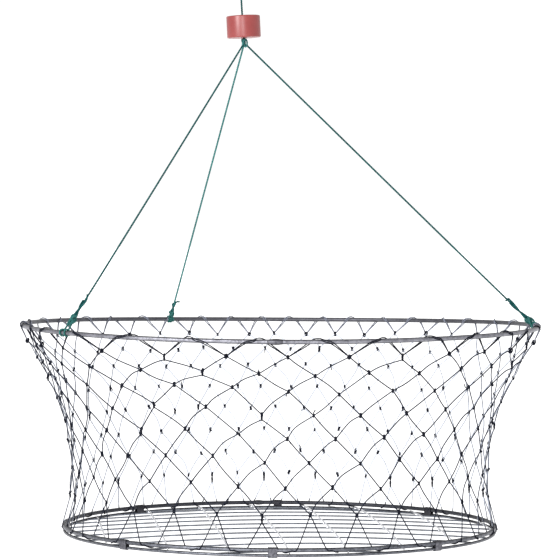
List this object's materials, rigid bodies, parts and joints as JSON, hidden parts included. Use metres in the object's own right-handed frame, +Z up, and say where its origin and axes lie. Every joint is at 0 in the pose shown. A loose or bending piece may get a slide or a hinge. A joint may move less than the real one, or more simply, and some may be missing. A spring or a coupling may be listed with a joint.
{
  "type": "folding crab trap",
  "caption": "Round hanging crab trap: steel hoop over a wire-mesh floor, joined by a waisted net that folds flat, hung from a corded bridle with a float.",
  "frame": {"origin": "under the crown of the hand loop at the top of the haul line, where a hook or a hand carries the hanging trap", "axes": "+Z up; +X to the right and +Y to the back as the trap hangs, with the hoop's butt weld at the front"},
  "size_m": [0.7029, 0.7019, 0.8165],
  "materials": {
    "hoop_steel": "satin",
    "base_steel": "satin",
    "net_twine": "matte",
    "bridle_cord": "matte",
    "float_plastic": "satin"
  },
  "bodies": {
    "line": {"apex_knot": "bridle_cord", "bridle_leg_back": "bridle_cord", "bridle_leg_left": "bridle_cord", "bridle_leg_right": "bridle_cord", "hand_loop": "bridle_cord", "haul_line": "bridle_cord", "loop_knot": "bridle_cord"},
    "float": {"float": "float_plastic"},
    "hoop": {"bridle_hitch_back": "bridle_cord", "bridle_hitch_left": "bridle_cord", "bridle_hitch_right": "bridle_cord", "netting": "net_twine", "top_hoop": "hoop_steel"},
    "base": {"base_floor_ring": "base_steel", "base_net_ring": "base_steel", "floor_cross_wire_1": "base_steel", "floor_cross_wire_2": "base_steel", "floor_cross_wire_3": "base_steel", "floor_cross_wire_4": "base_steel", "floor_cross_wire_5": "base_steel", "floor_cross_wire_6": "base_steel", "floor_cross_wire_7": "base_steel", "floor_cross_wire_8": "base_steel", "floor_line_wire_01": "base_steel", "floor_line_wire_02": "base_steel", "floor_line_wire_03": "base_steel", "floor_line_wire_04": "base_steel", "floor_line_wire_05": "base_steel", "floor_line_wire_06": "base_steel", "floor_line_wire_07": "base_steel", "floor_line_wire_08": "base_steel", "floor_line_wire_09": "base_steel", "floor_line_wire_10": "base_steel", "floor_line_wire_11": "base_steel", "floor_line_wire_12": "base_steel", "rim_clip_1": "base_steel", "rim_clip_2": "base_steel", "rim_clip_3": "base_steel", "rim_clip_4": "base_steel", "rim_clip_5": "base_steel", "rim_clip_6": "base_steel", "rim_clip_7": "base_steel", "rim_clip_8": "base_steel"}
  },
  "joints": [
    {"name": "float_slide", "type": "slide", "parent": "line", "child": "float", "axis": [-0.0523, 0, 0.9986], "range_m": [0, 0.036]},
    {"name": "bridle_fold", "type": "slide", "parent": "line", "child": "hoop", "axis": [0, 0, 1], "range_m": [0, 0.33], "deforming": ["bridle_leg_left", "bridle_leg_back", "bridle_leg_right"]},
    {"name": "net_collapse", "type": "slide", "parent": "hoop", "child": "base", "axis": [0, 0, 1], "range_m": [0, 0.24], "deforming": ["netting"]}
  ]
}
